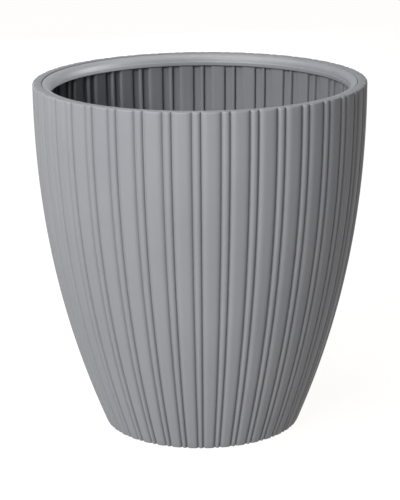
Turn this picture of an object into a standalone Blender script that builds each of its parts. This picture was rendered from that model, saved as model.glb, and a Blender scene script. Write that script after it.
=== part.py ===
"""Self watering planter: a ribbed round pot holding a ribbed liner over a water reservoir.

Metres, +Z up. The pot stands on z = 0 with its axis on Z, and its front faces -Y.
"""

import math

import bmesh
import bpy
from mathutils import Matrix, Vector

NAME = "self_watering_planter"

# Outer wall
HEIGHT = 0.4213
TOP_RADIUS = 0.1984
BASE_RADIUS = 0.1190
WALL_POWER = 2.17
RIM_ROUND = 0.0020
BASE_ROUND = 0.0014
OUTER_RIBS = 38
OUTER_PHASE = -0.018
OUTER_GROOVE = 0.0030

# Rim seat and shell inside
SHELL_WALL = 0.0070
SEAM_RADIUS = 0.1872
SEAT_RADIUS = 0.1837
SEAT_Z = HEIGHT - 0.0078
SHELL_FLOOR_Z = 0.0080
RECESS_RADIUS = 0.1000
RECESS_Z = 0.0040
BUNG_HOLE_RADIUS = 0.0090

# Liner
LINER_OFFSET = 0.0152
LAND_OFFSET = 0.0199
INNER_RIBS = 28
INNER_PHASE = math.pi - 0.019
INNER_GROOVE = 0.0027
LIP_RADIUS = 0.1771
LIP_BOTTOM = HEIGHT - 0.0150
LEDGE_Z = 0.0980
LEDGE_THICKNESS = 0.0030
LEDGE_RADIUS = 0.1180

# Steps of the smooth turned surfaces that lie face to face
SMOOTH_STEPS = 60

# One rib: offsets in parts of a period from the middle of the narrow bead, and how deep each one lies
RIB_PATTERN = ((-0.205, 0.0), (-0.150, 1.0), (-0.075, 0.0), (0.075, 0.0), (0.150, 1.0), (0.205, 0.0))

# Separator plate
PLATE_RADIUS = 0.1334
PLATE_Z = 0.0983
PLATE_THICKNESS = 0.0030
PLATE_TOP = PLATE_Z + PLATE_THICKNESS
DRAIN_HOLE_RADIUS = 0.0030
DRAIN_RINGS = ((0.025, (0, 60, 120, 180, 240, 300)),
               (0.068, (22, 38, 142, 158, 262, 278)),
               (0.108, (0, 30, 60, 90, 120, 150, 180, 210, 240, 270, 300, 330)))

# Wicking feet
FOOT_RING_RADIUS = 0.0680
FOOT_ANGLES = (90, 210, 330)
FOOT_HOLE_RADIUS = 0.0226
FOOT_TOP_RADIUS = 0.0220
FOOT_BOTTOM_RADIUS = 0.0180
FOOT_FLANGE_RADIUS = 0.0270
FOOT_WALL = 0.0020
FOOT_BOTTOM_Z = 0.0115
FOOT_SLOT = (0.0034, 0.0500)

# Fill tube, funnel and lid
FILL_X = -0.0240
FILL_Y = -0.0960
FILL_OUTER = 0.0120
FILL_INNER = 0.0100
FILL_BOTTOM = 0.0160
FILL_TOP = 0.3580
MOUTH_Z = 0.3850
MOUTH_OUTER = 0.0220
LID_RADIUS = 0.0215
LID_THICKNESS = 0.0025
PIN_Y = FILL_Y - 0.0265
PIN_Z = 0.3870
PIN_RADIUS = 0.0015

# Water gauge
GAUGE_X = 0.0220
GAUGE_Y = -0.0980
GAUGE_OUTER = 0.0080
GAUGE_INNER = 0.0065
GAUGE_BOTTOM = 0.0140
GAUGE_TOP = 0.3720
FLOAT_RADIUS = 0.0059
FLOAT_BOTTOM = 0.0203
FLOAT_TOP = 0.0585
ROD_RADIUS = 0.0012
ROD_TOP = 0.3080
TIP_RADIUS = 0.0040
TIP_TOP = 0.3160

# Lift handles
HANDLE_X = 0.1600
HANDLE_Z = 0.3740
HANDLE_DROP = 0.0580
HANDLE_HALF = 0.0400
HANDLE_WIRE = 0.0035
EYE_RADIUS = 0.0055
EYE_LENGTH = 0.0060
HANDLE_PIN_RADIUS = 0.0020
HANDLE_PIN_HOLE = 0.0023
LUG_Y = 0.0475
LUG_THICKNESS = 0.0060
LUG_INNER_X = 0.1535
LUG_OUTER_X = 0.1750

GAP = 0.0003

WALL_GREY = (0.215, 0.221, 0.238)
LINER_GREY = (0.210, 0.215, 0.230)


def clear_scene():
    for obj in list(bpy.data.objects):
        bpy.data.objects.remove(obj, do_unlink=True)


def new_collection(name, hidden=False):
    collection = bpy.data.collections.new(name)
    collection.hide_render = hidden
    bpy.context.scene.collection.children.link(collection)
    return collection


def material(name, color, roughness, metallic=0.0, alpha=1.0):
    made = bpy.data.materials.new(name)
    made.use_nodes = True
    shader = made.node_tree.nodes["Principled BSDF"]
    shader.inputs["Base Color"].default_value = (*color, 1.0)
    shader.inputs["Roughness"].default_value = roughness
    shader.inputs["Metallic"].default_value = metallic
    shader.inputs["Alpha"].default_value = alpha
    made.diffuse_color = (*color, alpha)
    return made


def place(obj, collection, mat=None):
    collection.objects.link(obj)
    if mat is not None:
        obj.data.materials.append(mat)
    return obj


def as_cutter(obj):
    obj.hide_render = True
    obj.display_type = "WIRE"
    return obj


def apply_modifiers(obj):
    """Replaces the object's mesh with its evaluated mesh."""
    bpy.context.view_layer.update()
    graph = bpy.context.evaluated_depsgraph_get()
    made = bpy.data.meshes.new_from_object(obj.evaluated_get(graph))
    old = obj.data
    obj.modifiers.clear()
    obj.data = made
    bpy.data.meshes.remove(old)
    return obj


def turned(name, profile, steps, collection, mat=None, centre=(0.0, 0.0), closed=False):
    """Turns (radius, z) points about the Z axis through centre; the outer side runs top to bottom."""
    mesh = bpy.data.meshes.new(name)
    points = [(radius, 0.0, z) for radius, z in profile]
    edges = [(i, i + 1) for i in range(len(points) - 1)]
    if closed:
        edges.append((len(points) - 1, 0))
    mesh.from_pydata(points, edges, [])
    obj = place(bpy.data.objects.new(name, mesh), collection, mat)
    obj.location = (centre[0], centre[1], 0.0)
    screw = obj.modifiers.new("Turn", "SCREW")
    screw.axis = "Z"
    screw.steps = steps
    screw.render_steps = steps
    screw.use_merge_vertices = True
    screw.merge_threshold = 0.00001
    screw.use_normal_calculate = False
    return obj


def cut(obj, cutter, operation="DIFFERENCE"):
    boolean = obj.modifiers.new("Cut_" + cutter.name, "BOOLEAN")
    boolean.operation = operation
    boolean.solver = "EXACT"
    boolean.object = cutter
    return boolean


def box(name, low, high, collection):
    """A box between two corners, as a cutter or a piece to join."""
    mesh = bpy.data.meshes.new(name)
    shape = bmesh.new()
    bmesh.ops.create_cube(shape, size=1.0)
    size = [b - a for a, b in zip(low, high)]
    middle = [(a + b) / 2 for a, b in zip(low, high)]
    bmesh.ops.scale(shape, vec=size, verts=shape.verts)
    bmesh.ops.translate(shape, vec=middle, verts=shape.verts)
    shape.to_mesh(mesh)
    shape.free()
    return as_cutter(place(bpy.data.objects.new(name, mesh), collection))


def rod(name, start, end, radius, sides, collection):
    """A cylinder from start to end."""
    mesh = bpy.data.meshes.new(name)
    shape = bmesh.new()
    start, end = Vector(start), Vector(end)
    bmesh.ops.create_cone(shape, cap_ends=True, segments=sides, radius1=radius, radius2=radius,
                          depth=(end - start).length)
    turn = Vector((0, 0, 1)).rotation_difference(end - start).to_matrix().to_4x4()
    bmesh.ops.transform(shape, matrix=Matrix.Translation((start + end) / 2) @ turn, verts=shape.verts)
    shape.to_mesh(mesh)
    shape.free()
    return as_cutter(place(bpy.data.objects.new(name, mesh), collection))


def ribbed(obj, ribs, phase, depth_at):
    """Moves the columns of a turned mesh to the rib pattern, and each one in or out by depth_at(z) x its depth."""
    columns = len(RIB_PATTERN)
    period = 2 * math.pi / ribs
    for vertex in obj.data.vertices:
        radius = math.hypot(vertex.co.x, vertex.co.y)
        if radius < 1e-6:
            continue
        turn = math.atan2(vertex.co.y, vertex.co.x) % (2 * math.pi)
        index = round(turn / period * columns) % (columns * ribs)
        offset, depth = RIB_PATTERN[index % columns]
        angle = phase - math.pi / 2 + (index // columns + offset) * period
        radius += depth * depth_at(vertex.co.z)
        vertex.co.x = radius * math.cos(angle)
        vertex.co.y = radius * math.sin(angle)
    return obj


def wall_radius(z):
    """The outer wall's radius over the lands at height z."""
    up = min(max(z / HEIGHT, 0.0), 1.0)
    return TOP_RADIUS - (TOP_RADIUS - BASE_RADIUS) * (1.0 - up) ** WALL_POWER


def wall_points(low, high, count, offset):
    """(radius, z) points along the wall from high to low."""
    points = []
    for i in range(count + 1):
        z = high + (low - high) * i / count
        points.append((wall_radius(z) - offset, z))
    return points


def outer_shell(collection, cutters, mat):
    """The pot: ribbed outside, smooth inside, with a seat for the liner and a recessed floor."""
    top, low = HEIGHT, 0.0
    profile = [(0.0, top), (TOP_RADIUS - RIM_ROUND, top), (TOP_RADIUS - 0.3 * RIM_ROUND, top - 0.3 * RIM_ROUND)]
    profile += wall_points(low + BASE_ROUND, top - RIM_ROUND, 7, 0.0)
    profile += [(BASE_RADIUS - BASE_ROUND, low), (0.0, low)]
    shell = turned("outer_shell", profile, OUTER_RIBS * len(RIB_PATTERN), collection, mat)
    apply_modifiers(shell)

    def groove(z):
        flat = z > top - 1e-5 or z < low + 1e-5
        return -0.6 * OUTER_GROOVE if flat else -OUTER_GROOVE

    ribbed(shell, OUTER_RIBS, OUTER_PHASE, groove)

    inner = wall_points(SHELL_FLOOR_Z + 0.004, HEIGHT - 0.020, 5, SHELL_WALL)
    floor_radius = inner[-1][0]
    hollow = [(0.0, HEIGHT + 0.01), (SEAM_RADIUS, HEIGHT + 0.01), (SEAM_RADIUS, SEAT_Z), (SEAT_RADIUS, SEAT_Z),
              (SEAT_RADIUS, SEAT_Z - 0.0035)]
    hollow += inner
    hollow += [(floor_radius - 0.004, SHELL_FLOOR_Z), (0.0, SHELL_FLOOR_Z)]
    cut(shell, as_cutter(turned("shell_hollow", hollow, SMOOTH_STEPS, cutters)))
    recess = [(0.0, RECESS_Z), (RECESS_RADIUS - 0.003, RECESS_Z), (RECESS_RADIUS, -0.01), (0.0, -0.01)]
    cut(shell, as_cutter(turned("shell_recess", recess, 36, cutters)))
    cut(shell, rod("bung_hole", (0, 0, -0.01), (0, 0, 0.02), BUNG_HOLE_RADIUS, 18, cutters))
    return shell


def inner_liner(collection, cutters, mat):
    """The lift-out liner: smooth outside, ribbed inside, with a rolled collar, a floor ledge and handle lugs."""
    top = HEIGHT - 0.0008
    outside = [(0.0, top), (SEAM_RADIUS - 0.0005, top), (SEAM_RADIUS - 0.0004, SEAT_Z + GAP),
               (SEAT_RADIUS - 0.0004, SEAT_Z + GAP)]
    outside += wall_points(LEDGE_Z - LEDGE_THICKNESS, SEAT_Z - 0.0035, 5, LINER_OFFSET)
    outside += [(0.0, LEDGE_Z - LEDGE_THICKNESS)]
    liner = turned("inner_liner", outside, SMOOTH_STEPS, collection, mat)

    mouth = [(0.0, HEIGHT + 0.01), (0.1860, HEIGHT + 0.01), (0.1860, HEIGHT + 0.0004), (0.1815, HEIGHT - 0.0040),
             (0.1800, HEIGHT - 0.0070), (0.1782, HEIGHT - 0.0082), (LIP_RADIUS, HEIGHT - 0.0100),
             (LIP_RADIUS, LIP_BOTTOM - 0.0004), (0.0, LIP_BOTTOM - 0.0004)]
    cut(liner, as_cutter(turned("liner_mouth", mouth, SMOOTH_STEPS, cutters)))

    inside = [(0.0, LIP_BOTTOM)] + wall_points(LEDGE_Z, LIP_BOTTOM, 6, LAND_OFFSET) + [(0.0, LEDGE_Z)]
    hollow = turned("liner_hollow", inside, INNER_RIBS * len(RIB_PATTERN), cutters)
    apply_modifiers(hollow)
    ribbed(hollow, INNER_RIBS, INNER_PHASE, lambda z: INNER_GROOVE)
    cut(liner, as_cutter(hollow))
    cut(liner, rod("ledge_hole", (0, 0, 0.05), (0, 0, 0.12), LEDGE_RADIUS, 40, cutters))

    for side in (-1, 1):
        for end in (-1, 1):
            tag = ("left" if side < 0 else "right") + ("_front" if end < 0 else "_back")
            xs = sorted((side * LUG_INNER_X, side * LUG_OUTER_X))
            ys = sorted((end * (LUG_Y - LUG_THICKNESS / 2), end * (LUG_Y + LUG_THICKNESS / 2)))
            lug = box("lug_" + tag, (xs[0], ys[0], HANDLE_Z - 0.008), (xs[1], ys[1], HANDLE_Z + 0.008), cutters)
            cut(liner, lug, "UNION")
        bore = rod("lug_bore_" + ("left" if side < 0 else "right"), (side * HANDLE_X, -0.06, HANDLE_Z),
                   (side * HANDLE_X, 0.06, HANDLE_Z), HANDLE_PIN_HOLE, 16, cutters)
        cut(liner, bore)
    return liner


def foot_centre(angle):
    turn = math.radians(angle)
    return FOOT_RING_RADIUS * math.cos(turn), FOOT_RING_RADIUS * math.sin(turn)


def ring_spline(curve, centre, radius, sides):
    spline = curve.splines.new("POLY")
    spline.points.add(sides - 1)
    spline.use_cyclic_u = True
    for i, point in enumerate(spline.points):
        turn = 2 * math.pi * (i + 0.5) / sides
        point.co = (centre[0] + radius * math.cos(turn), centre[1] + radius * math.sin(turn), 0.0, 1.0)


def separator_plate(collection, mat):
    """The perforated floor between the soil and the water, with holes for the feet and the tubes."""
    curve = bpy.data.curves.new("separator_plate", "CURVE")
    curve.dimensions = "2D"
    curve.fill_mode = "BOTH"
    curve.extrude = PLATE_THICKNESS / 2
    ring_spline(curve, (0.0, 0.0), PLATE_RADIUS, 48)
    for angle in FOOT_ANGLES:
        ring_spline(curve, foot_centre(angle), FOOT_HOLE_RADIUS, 20)
    ring_spline(curve, (FILL_X, FILL_Y), 0.0145, 16)
    ring_spline(curve, (GAUGE_X, GAUGE_Y), 0.0103, 16)
    for radius, angles in DRAIN_RINGS:
        for angle in angles:
            turn = math.radians(angle)
            ring_spline(curve, (radius * math.cos(turn), radius * math.sin(turn)), DRAIN_HOLE_RADIUS, 6)
    plate = place(bpy.data.objects.new("separator_plate", curve), collection, mat)
    plate.location = (0.0, 0.0, PLATE_Z + PLATE_THICKNESS / 2)
    return plate


def wick_foot(index, angle, collection, cutters, mat):
    """A slotted cup of soil that hangs from the plate into the water."""
    x, y = foot_centre(angle)
    flange_low = PLATE_TOP + GAP
    flange_top = flange_low + 0.002
    bottom = FOOT_BOTTOM_Z
    profile = [(0.0, bottom + 0.0025), (FOOT_BOTTOM_RADIUS - FOOT_WALL, bottom + 0.0025),
               (FOOT_TOP_RADIUS - FOOT_WALL, flange_top), (FOOT_FLANGE_RADIUS, flange_top),
               (FOOT_FLANGE_RADIUS, flange_low), (FOOT_TOP_RADIUS, flange_low), (FOOT_BOTTOM_RADIUS, bottom),
               (0.0, bottom)]
    foot = turned("wick_foot_%d" % index, profile, 20, collection, mat, (x, y))
    width, tall = FOOT_SLOT
    low = bottom + 0.012
    reach = FOOT_TOP_RADIUS + 0.01
    across = box("foot_%d_slot_x" % index, (x - reach, y - width / 2, low), (x + reach, y + width / 2, low + tall), cutters)
    along = box("foot_%d_slot_y" % index, (x - width / 2, y - reach, low), (x + width / 2, y + reach, low + tall), cutters)
    cut(foot, across)
    cut(foot, along)
    return foot


def spool(name, centre, inner, neck, flange, collection, mat):
    """A rubber grommet: its neck fills the plate's hole and its flanges hold both faces."""
    low, high = PLATE_Z - GAP, PLATE_TOP + GAP
    profile = [(inner, low - 0.0018), (inner, high + 0.0018), (flange, high + 0.0018), (flange, high),
               (neck, high), (neck, low), (flange, low), (flange, low - 0.0018)]
    return turned(name, profile, 16, collection, mat, centre, closed=True)


def pipe(name, centre, outer, inner, low, high, steps, collection, mat):
    profile = [(inner, low), (inner, high), (outer, high), (outer, low)]
    return turned(name, profile, steps, collection, mat, centre, closed=True)


def fill_funnel(collection, cutters, mat):
    """The flared mouth on the fill tube, with the lid's two hinge lugs on its wall side."""
    sleeve_low = FILL_TOP - 0.016
    stop = FILL_TOP + GAP
    profile = [(FILL_OUTER + 0.0003, sleeve_low), (FILL_OUTER + 0.0003, stop), (FILL_INNER, stop),
               (FILL_INNER, stop + 0.002), (MOUTH_OUTER - 0.002, MOUTH_Z), (MOUTH_OUTER, MOUTH_Z),
               (FILL_OUTER + 0.0020, stop + 0.001), (FILL_OUTER + 0.0020, sleeve_low)]
    funnel = turned("fill_funnel", profile, 24, collection, mat, (FILL_X, FILL_Y), closed=True)
    for i, x in enumerate((-0.0092, 0.0062)):
        low = box("funnel_lug_%d_low" % i, (FILL_X + x, FILL_Y - 0.0300, 0.3790),
                  (FILL_X + x + 0.003, FILL_Y - 0.0178, 0.3848), cutters)
        high = box("funnel_lug_%d_high" % i, (FILL_X + x, FILL_Y - 0.0300, 0.3800),
                   (FILL_X + x + 0.003, FILL_Y - 0.0232, 0.3905), cutters)
        cut(funnel, low, "UNION")
        cut(funnel, high, "UNION")
    cut(funnel, rod("funnel_pin_hole", (FILL_X - 0.02, PIN_Y, PIN_Z), (FILL_X + 0.02, PIN_Y, PIN_Z), 0.0018, 14, cutters))
    return funnel


def fill_lid(collection, cutters, mat):
    """The round lid, with its knuckle on the hinge pin. Its origin is on the pin's axis."""
    low = MOUTH_Z + GAP
    top = low + LID_THICKNESS
    reach = FILL_Y - PIN_Y
    profile = [(0.0, top + 0.0006), (LID_RADIUS - 0.006, top + 0.0006), (LID_RADIUS - 0.001, top),
               (LID_RADIUS, top - 0.001), (LID_RADIUS, low), (0.0, low)]
    profile = [(radius, z - PIN_Z) for radius, z in profile]
    lid = turned("fill_lid", profile, 24, collection, mat, (0.0, 0.0))
    apply_modifiers(lid)
    lid.data.transform(Matrix.Translation((0.0, reach, 0.0)))
    lid.location = (FILL_X, PIN_Y, PIN_Z)
    web = box("lid_web", (FILL_X - 0.0055, PIN_Y, low), (FILL_X + 0.0055, PIN_Y + 0.0100, top), cutters)
    knuckle = rod("lid_knuckle", (FILL_X - 0.0055, PIN_Y, PIN_Z), (FILL_X + 0.0055, PIN_Y, PIN_Z), 0.0030, 16, cutters)
    tab = box("lid_tab", (FILL_X - 0.006, FILL_Y + LID_RADIUS - 0.004, low),
              (FILL_X + 0.006, FILL_Y + LID_RADIUS + 0.0045, top - 0.0008), cutters)
    bore = rod("lid_bore", (FILL_X - 0.02, PIN_Y, PIN_Z), (FILL_X + 0.02, PIN_Y, PIN_Z), 0.0018, 14, cutters)
    cut(lid, web, "UNION")
    cut(lid, knuckle, "UNION")
    cut(lid, tab, "UNION")
    cut(lid, bore)
    return lid


def pin_along_x(name, centre, half, radius, collection, mat):
    """A plain pin whose axis is along X."""
    profile = [(0.0, half), (radius * 0.8, half), (radius, half - radius * 0.3), (radius, -half + radius * 0.3),
               (radius * 0.8, -half), (0.0, -half)]
    pin = turned(name, profile, 14, collection, mat)
    pin.rotation_euler = (0.0, math.pi / 2, 0.0)
    pin.location = centre
    return pin


def handle_pin(name, side, collection, mat):
    """A headed pin along Y through both lugs of one handle."""
    half = LUG_Y + LUG_THICKNESS / 2 + 0.0022
    head = LUG_Y + LUG_THICKNESS / 2 + GAP
    radius = HANDLE_PIN_RADIUS
    profile = [(0.0, half), (radius * 1.7, half), (radius * 1.7, head), (radius, head), (radius, -half + 0.0006),
               (radius * 0.7, -half), (0.0, -half)]
    pin = turned(name, profile, 14, collection, mat)
    pin.rotation_euler = (math.pi / 2, 0.0, 0.0)
    pin.location = (side * HANDLE_X, 0.0, HANDLE_Z)
    return pin


def lift_handle(name, side, collection, cutters, mat):
    """A round wire bail folded down against the liner's wall. Its origin is on the pin's axis."""
    curve = bpy.data.curves.new(name + "_wire", "CURVE")
    curve.dimensions = "3D"
    curve.bevel_depth = HANDLE_WIRE
    curve.bevel_resolution = 1
    curve.use_fill_caps = True
    spline = curve.splines.new("POLY")
    corner = 0.012
    path = [(-HANDLE_HALF, -0.001)]
    for i in range(5):
        turn = math.pi / 2 * i / 4
        path.append((-HANDLE_HALF + corner * (1 - math.cos(turn)), -HANDLE_DROP + corner * (1 - math.sin(turn))))
    path += [(-y, z) for y, z in reversed(path)]
    spline.points.add(len(path) - 1)
    for point, (y, z) in zip(spline.points, path):
        point.co = (0.0, y, z, 1.0)
    wire = place(bpy.data.objects.new(name + "_wire", curve), cutters)
    bpy.context.view_layer.update()
    mesh = bpy.data.meshes.new_from_object(wire.evaluated_get(bpy.context.evaluated_depsgraph_get()))
    bpy.data.objects.remove(wire, do_unlink=True)
    shape = bmesh.new()
    shape.from_mesh(mesh)
    bmesh.ops.remove_doubles(shape, verts=shape.verts, dist=0.00001)
    bmesh.ops.recalc_face_normals(shape, faces=shape.faces)
    shape.to_mesh(mesh)
    shape.free()
    mesh.name = name
    mesh.materials.clear()
    handle = place(bpy.data.objects.new(name, mesh), collection, mat)
    handle.location = (side * HANDLE_X, 0.0, HANDLE_Z)
    for end in (-1, 1):
        start = (side * HANDLE_X, end * (HANDLE_HALF - EYE_LENGTH / 2), HANDLE_Z)
        stop = (side * HANDLE_X, end * (HANDLE_HALF + EYE_LENGTH / 2), HANDLE_Z)
        cut(handle, rod("%s_eye_%d" % (name, end), start, stop, EYE_RADIUS, 16, cutters), "UNION")
    bore = rod(name + "_bore", (side * HANDLE_X, -0.06, HANDLE_Z), (side * HANDLE_X, 0.06, HANDLE_Z), HANDLE_PIN_HOLE, 14,
               cutters)
    cut(handle, bore)
    return handle


def gauge_pieces(collection, cutters, mats):
    """The clear gauge tube, its inlet foot, its cap and rings, and the float with its rod and red tip."""
    at = (GAUGE_X, GAUGE_Y)
    pipe("gauge_tube", at, GAUGE_OUTER, GAUGE_INNER, GAUGE_BOTTOM, GAUGE_TOP, 16, collection, mats["clear"])
    foot_top = FLOAT_BOTTOM - GAP
    foot = [(0.0025, GAUGE_BOTTOM - 0.0035), (0.0025, foot_top), (GAUGE_INNER - 0.0003, foot_top),
            (GAUGE_INNER - 0.0003, GAUGE_BOTTOM - GAP), (GAUGE_OUTER, GAUGE_BOTTOM - GAP),
            (GAUGE_OUTER, GAUGE_BOTTOM - 0.0035)]
    turned("gauge_foot", foot, 16, collection, mats["dark"], at, closed=True)
    dome = GAUGE_TOP + GAP
    inner, outer = GAUGE_OUTER + 0.0003, GAUGE_OUTER + 0.0018
    cap = [(0.0, dome + 0.0085), (0.0040, dome + 0.0075), (GAUGE_INNER, dome + 0.0035), (GAUGE_INNER, dome),
           (inner, dome), (inner, dome - 0.0100), (outer, dome - 0.0100), (outer, dome + 0.0040),
           (0.0060, dome + 0.0090), (0.0, dome + 0.0105)]
    cap.reverse()
    turned("gauge_cap", cap, 16, collection, mats["clear"], at)
    for name, low in (("gauge_ring_min", 0.3130), ("gauge_ring_max", 0.3560)):
        pipe(name, at, GAUGE_OUTER + 0.0011, GAUGE_OUTER + 0.0003, low, low + 0.0020, 16, collection, mats["red"])
    bore = ROD_RADIUS + 0.0003
    body = [(0.0, FLOAT_TOP - 0.0103), (bore, FLOAT_TOP - 0.0103), (bore, FLOAT_TOP), (FLOAT_RADIUS - 0.0012, FLOAT_TOP),
            (FLOAT_RADIUS, FLOAT_TOP - 0.0012), (FLOAT_RADIUS, FLOAT_BOTTOM + 0.0012),
            (FLOAT_RADIUS - 0.0012, FLOAT_BOTTOM), (0.0, FLOAT_BOTTOM)]
    turned("gauge_float", body, 16, collection, mats["float"], at)
    rod_low = FLOAT_TOP - 0.0100
    stem = [(0.0, ROD_TOP), (ROD_RADIUS, ROD_TOP), (ROD_RADIUS, rod_low), (0.0, rod_low)]
    turned("gauge_rod", stem, 12, collection, mats["float"], at)
    low = ROD_TOP - 0.0070
    tip = [(0.0, TIP_TOP), (TIP_RADIUS * 0.6, TIP_TOP - 0.0006), (TIP_RADIUS, TIP_TOP - 0.0024), (TIP_RADIUS, low),
           (bore, low), (bore, ROD_TOP + GAP), (0.0, ROD_TOP + GAP)]
    turned("gauge_tip", tip, 16, collection, mats["red"], at)


def tube_tie(collection, cutters, mat):
    """A flat link that holds the fill tube and the gauge tube a fixed distance apart."""
    low, high = 0.2900, 0.2970
    profile = [(0.0, high), (0.0160, high), (0.0160, low), (0.0, low)]
    tie = turned("tube_tie", profile, 24, collection, mat, (FILL_X, FILL_Y))
    cut(tie, rod("tie_boss", (GAUGE_X, GAUGE_Y, low + 0.0005), (GAUGE_X, GAUGE_Y, high - 0.0005), 0.0118, 24, cutters), "UNION")
    link = box("tie_link", (FILL_X + 0.010, -0.1030, low + 0.001), (GAUGE_X - 0.006, -0.0910, high - 0.001), cutters)
    cut(tie, link, "UNION")
    cut(tie, rod("tie_fill_hole", (FILL_X, FILL_Y, 0.27), (FILL_X, FILL_Y, 0.32), FILL_OUTER + 0.0004, 24, cutters))
    cut(tie, rod("tie_gauge_hole", (GAUGE_X, GAUGE_Y, 0.27), (GAUGE_X, GAUGE_Y, 0.32), GAUGE_OUTER + 0.0004, 24, cutters))
    return tie


def drain_bung(collection, mat):
    """The rubber bung in the pot's floor, pulled up by its knob."""
    flange = SHELL_FLOOR_Z + GAP
    stem = BUNG_HOLE_RADIUS - 0.0004
    profile = [(0.0, 0.0280), (0.0070, 0.0275), (0.0085, 0.0260), (0.0085, 0.0235), (0.0070, 0.0220),
               (0.0045, 0.0215), (0.0045, 0.0135), (0.0130, flange + 0.0030), (0.0130, flange), (stem, flange),
               (stem, 0.0020), (stem - 0.0008, 0.0012), (0.0, 0.0012)]
    return turned("drain_bung", profile, 18, collection, mat)


def build():
    clear_scene()
    parts = new_collection(NAME)
    cutters = new_collection(NAME + "_cutters", hidden=True)
    mats = {
        "wall": material("pot_grey", WALL_GREY, 0.55),
        "liner": material("liner_grey", LINER_GREY, 0.60),
        "dark": material("inner_black", (0.030, 0.031, 0.034), 0.60),
        "lid": material("lid_grey", (0.090, 0.093, 0.102), 0.50),
        "rubber": material("rubber_black", (0.018, 0.018, 0.019), 0.80),
        "clear": material("gauge_clear", (0.80, 0.84, 0.86), 0.10, alpha=0.35),
        "float": material("float_white", (0.75, 0.75, 0.73), 0.55),
        "red": material("marker_red", (0.55, 0.03, 0.02), 0.40),
        "steel": material("pin_steel", (0.55, 0.55, 0.56), 0.30, 1.0),
    }
    outer_shell(parts, cutters, mats["wall"])
    inner_liner(parts, cutters, mats["liner"])
    separator_plate(parts, mats["dark"])
    for index, angle in enumerate(FOOT_ANGLES, 1):
        wick_foot(index, angle, parts, cutters, mats["dark"])
    pipe("fill_tube", (FILL_X, FILL_Y), FILL_OUTER, FILL_INNER, FILL_BOTTOM, FILL_TOP, 24, parts, mats["dark"])
    spool("fill_grommet", (FILL_X, FILL_Y), FILL_OUTER + 0.0003, 0.0141, 0.0168, parts, mats["rubber"])
    spool("gauge_grommet", (GAUGE_X, GAUGE_Y), GAUGE_OUTER + 0.0003, 0.0099, 0.0122, parts, mats["rubber"])
    fill_funnel(parts, cutters, mats["lid"])
    fill_lid(parts, cutters, mats["lid"])
    pin_along_x("lid_pin", (FILL_X, PIN_Y, PIN_Z), 0.0098, PIN_RADIUS, parts, mats["steel"])
    gauge_pieces(parts, cutters, mats)
    tube_tie(parts, cutters, mats["dark"])
    drain_bung(parts, mats["rubber"])
    for side, tag in ((-1, "left"), (1, "right")):
        lift_handle("lift_handle_" + tag, side, parts, cutters, mats["dark"])
        handle_pin("handle_pin_" + tag, side, parts, mats["steel"])


build()
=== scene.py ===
"""Looks of the self watering planter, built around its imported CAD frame. Metres, +Z up, front facing -Y."""

import math

import bmesh
import bpy
from mathutils import Matrix, Vector


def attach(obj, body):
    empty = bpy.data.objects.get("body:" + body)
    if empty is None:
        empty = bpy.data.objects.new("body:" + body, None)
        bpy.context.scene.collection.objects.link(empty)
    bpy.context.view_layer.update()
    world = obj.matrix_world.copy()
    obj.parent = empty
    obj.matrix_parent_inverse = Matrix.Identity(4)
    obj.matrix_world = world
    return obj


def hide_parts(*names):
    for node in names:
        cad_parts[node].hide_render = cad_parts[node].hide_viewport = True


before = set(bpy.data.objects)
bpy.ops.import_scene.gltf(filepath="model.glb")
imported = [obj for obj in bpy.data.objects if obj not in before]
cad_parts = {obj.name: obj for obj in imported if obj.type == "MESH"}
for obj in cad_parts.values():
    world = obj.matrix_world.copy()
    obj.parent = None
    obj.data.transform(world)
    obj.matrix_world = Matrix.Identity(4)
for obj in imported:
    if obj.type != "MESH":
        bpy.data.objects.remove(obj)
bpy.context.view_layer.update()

# Pot wall
HEIGHT = 0.4213
TOP_RADIUS = 0.1983
BASE_RADIUS = 0.1190
WALL_POWER = 2.17
RIM_ROUND = 0.0020
RIM_GROOVE = 0.70
SHELL_WALL = 0.0070
SEAM_RADIUS = 0.1872
SEAT_RADIUS = 0.1837
SEAT_Z = HEIGHT - 0.0078
SHELL_FLOOR_Z = 0.0080
RECESS_RADIUS = 0.1000
RECESS_Z = 0.0040
BUNG_HOLE = 0.0090

# Liner wall
LINER_OFFSET = 0.0152
LAND_OFFSET = 0.0199
LIP_RADIUS = 0.1771
LIP_BOTTOM = HEIGHT - 0.0150
COLLAR_WIDE = 0.0084
COLLAR_TALL = 0.0082
LEDGE_Z = 0.0980
LEDGE_THICKNESS = 0.0030
LEDGE_RADIUS = 0.1180


def shoulder(along, width, depth):
    """How far a round shoulder of this width and depth has dropped at a distance along it."""
    if width < depth:
        return depth * (1.0 - math.sqrt(max(0.0, 1.0 - (along / width) ** 2)))
    radius = (width * width + depth * depth) / (2 * depth)
    return radius - math.sqrt(max(0.0, radius * radius - along * along))


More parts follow.
